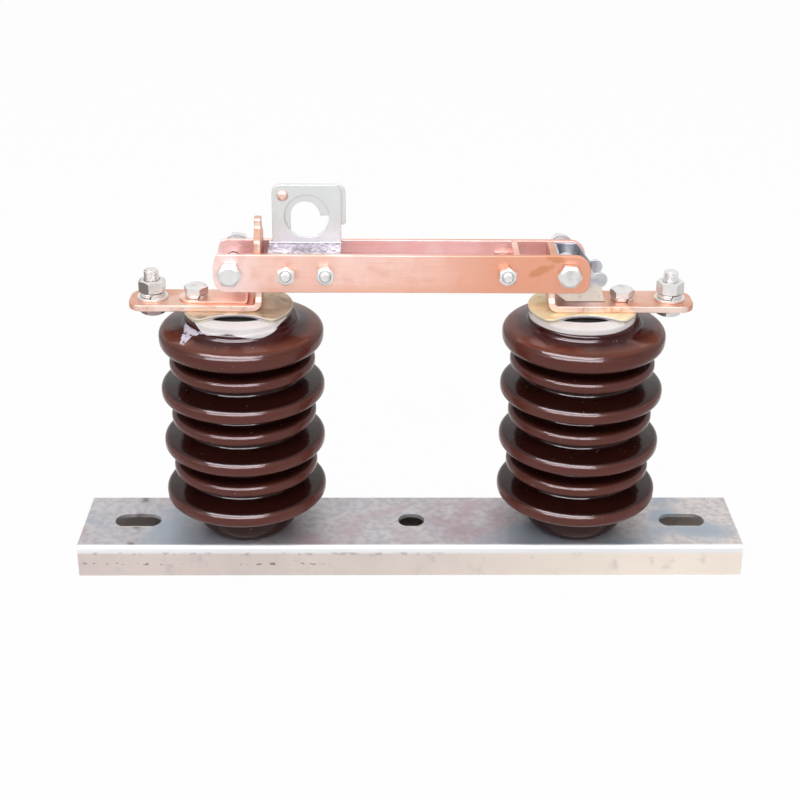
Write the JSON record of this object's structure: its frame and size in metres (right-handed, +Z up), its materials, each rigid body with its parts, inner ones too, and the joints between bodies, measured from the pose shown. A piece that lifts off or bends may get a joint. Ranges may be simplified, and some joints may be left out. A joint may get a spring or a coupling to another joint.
{
  "type": "single-pole knife disconnector",
  "caption": "Outdoor knife disconnector: paired copper blades hinge over a contact between ribbed brown porcelain posts on a folded steel base, opened by a pull ring.",
  "frame": {"origin": "centre of the base channel's underside", "axes": "+X along the base towards the hinge end, +Y across it away from the side with the small nuts, +Z up the porcelain posts"},
  "size_m": [0.55, 0.132, 0.3219],
  "materials": {
    "galvanised_steel": "hot-dip galvanised, spangled and stained",
    "brown_porcelain": "glossy brown glaze",
    "white_cement": "unglazed, ground flat",
    "yellow_plated_steel": "yellow zinc plating",
    "copper": "bare copper, oil patches and light tarnish",
    "zinc_fasteners": "bright zinc plating",
    "ring_steel": "zinc-plated sheet",
    "saddle_steel": "galvanised sheet"
  },
  "bodies": {
    "fixed": {"base_channel": "galvanised_steel", "jaw_insulator": "brown_porcelain", "jaw_cap": "white_cement", "jaw_flange": "yellow_plated_steel", "jaw_contact_bar": "copper", "jaw_base_bolt": "zinc_fasteners", "jaw_flange_bolt": "zinc_fasteners", "jaw_flange_washer": "zinc_fasteners", "jaw_terminal_bolt": "zinc_fasteners", "jaw_terminal_washer": "zinc_fasteners", "jaw_terminal_spring_washer": "zinc_fasteners", "jaw_terminal_nut": "zinc_fasteners", "hinge_insulator": "brown_porcelain", "hinge_cap": "white_cement", "hinge_flange": "yellow_plated_steel", "hinge_contact_bar": "copper", "hinge_base_bolt": "zinc_fasteners", "hinge_flange_bolt": "zinc_fasteners", "hinge_flange_washer": "zinc_fasteners", "hinge_terminal_bolt": "zinc_fasteners", "hinge_terminal_washer": "zinc_fasteners", "hinge_terminal_spring_washer": "zinc_fasteners", "hinge_terminal_nut": "zinc_fasteners", "hinge_bolt": "zinc_fasteners", "hinge_spring": "zinc_fasteners", "hinge_washer": "zinc_fasteners", "hinge_nut": "zinc_fasteners", "jaw_strip": "copper", "hinge_saddle": "saddle_steel"},
    "blade": {"blade_front": "copper", "blade_rear": "copper", "blade_spacer": "copper", "ring_frame": "ring_steel", "latch_rivet": "copper", "jaw_bolt": "zinc_fasteners", "jaw_spring": "zinc_fasteners", "jaw_washer": "zinc_fasteners", "jaw_nut": "zinc_fasteners", "frame_jaw_side_bolt": "zinc_fasteners", "frame_jaw_side_nut": "zinc_fasteners", "frame_hinge_side_bolt": "zinc_fasteners", "frame_hinge_side_nut": "zinc_fasteners", "spacer_bolt": "zinc_fasteners", "spacer_nut": "zinc_fasteners"},
    "lever": {"latch_lever": "ring_steel"}
  },
  "joints": [
    {"name": "blade_swing", "type": "hinge", "parent": "fixed", "child": "blade", "pos_m": [0.121, 0, 0.2588], "axis": [0, 1, 0], "range_deg": [0, 110]},
    {"name": "latch_swing", "type": "hinge", "parent": "blade", "child": "lever", "pos_m": [-0.1026, 0, 0.3135], "axis": [0, -1, 0], "range_deg": [0, 8], "stiffness_Nm_per_rad": 0.05, "springref_deg": -20.05}
  ]
}
